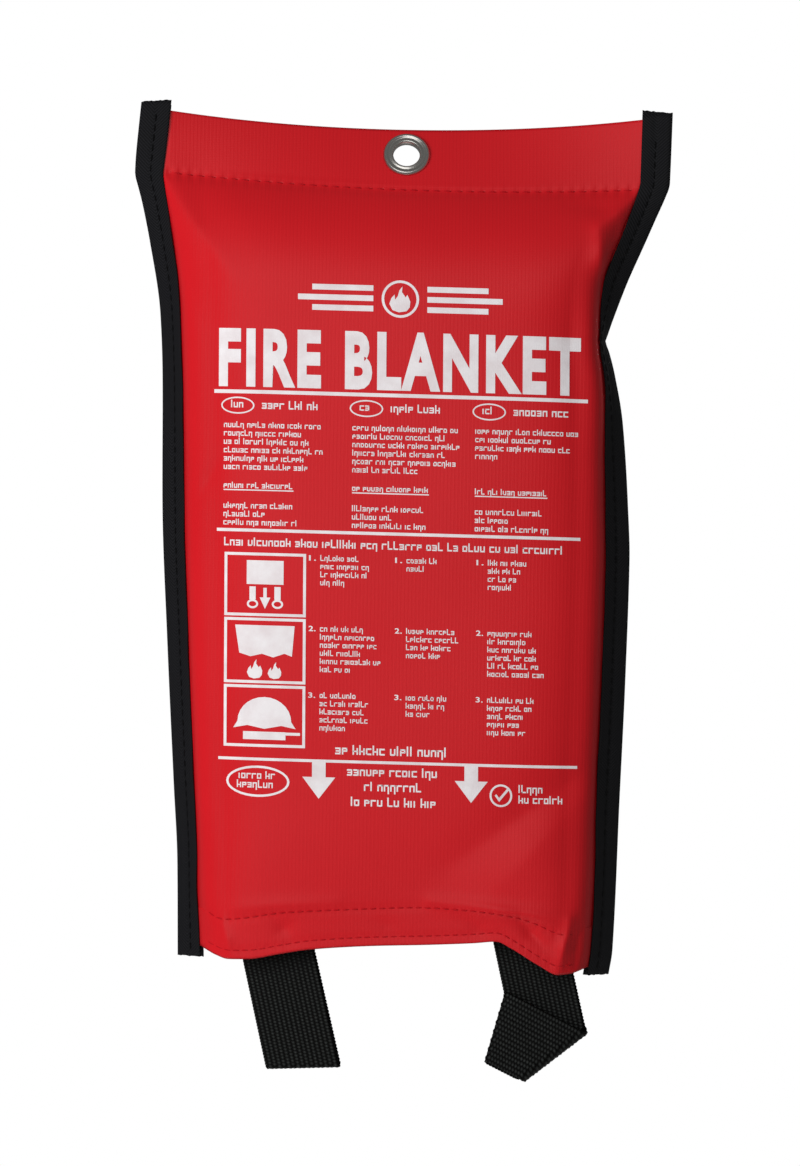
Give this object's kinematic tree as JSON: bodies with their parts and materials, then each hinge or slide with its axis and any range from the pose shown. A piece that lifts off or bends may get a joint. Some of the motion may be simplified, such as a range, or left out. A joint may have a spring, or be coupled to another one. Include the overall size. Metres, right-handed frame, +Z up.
{
  "type": "fire blanket",
  "caption": "Fire blanket folded in a soft hanging pouch with an eyelet header, bound side seams and pull tapes at its open bottom.",
  "frame": {"origin": "centre of the hanging eyelet's bore", "axes": "+Z up along the pouch, +X to the right as it hangs, front faces -Y, back lies on the wall at +Y"},
  "size_m": [0.19, 0.0323, 0.3461],
  "materials": {
    "pouch_cloth": "satin",
    "binding_tape": "matte",
    "black_thread": "matte",
    "red_thread": "matte",
    "hook_and_loop": "matte",
    "eyelet_steel": "polished",
    "print_ink": "matte",
    "glass_cloth": "matte",
    "tape_thread": "matte",
    "webbing": "matte"
  },
  "bodies": {
    "pouch": {"front_panel": "pouch_cloth", "back_panel": "pouch_cloth", "left_binding": "binding_tape", "right_binding": "binding_tape", "header_stitching": "red_thread", "left_binding_stitching": "black_thread", "right_binding_stitching": "black_thread", "front_hem_upper_stitching": "red_thread", "front_hem_lower_stitching": "red_thread", "back_hem_upper_stitching": "red_thread", "back_hem_lower_stitching": "red_thread", "hook_strip": "hook_and_loop", "loop_strip": "hook_and_loop", "eyelet_barrel": "eyelet_steel", "eyelet_washer": "eyelet_steel", "printed_panel": "print_ink"},
    "blanket": {"folded_blanket": "glass_cloth", "left_tape_sewn_end": "webbing", "left_tape_stitching": "tape_thread", "right_tape_sewn_end": "webbing", "right_tape_stitching": "tape_thread"},
    "left_tape": {"left_tape_loop": "webbing"},
    "right_tape": {"right_tape_loop": "webbing"}
  },
  "joints": [
    {"name": "blanket_pull", "type": "slide", "parent": "pouch", "child": "blanket", "axis": [0, 0, -1], "range_m": [0, 0.255]},
    {"name": "left_tape_swing", "type": "hinge", "parent": "blanket", "child": "left_tape", "pos_m": [-0.0386, -0.00713, -0.292], "axis": [0.9736, 0, 0.2284], "range_deg": [-80, 25]},
    {"name": "right_tape_swing", "type": "hinge", "parent": "blanket", "child": "right_tape", "pos_m": [0.052, -0.00713, -0.292], "axis": [0.9744, 0, 0.225], "range_deg": [-80, 25]}
  ]
}
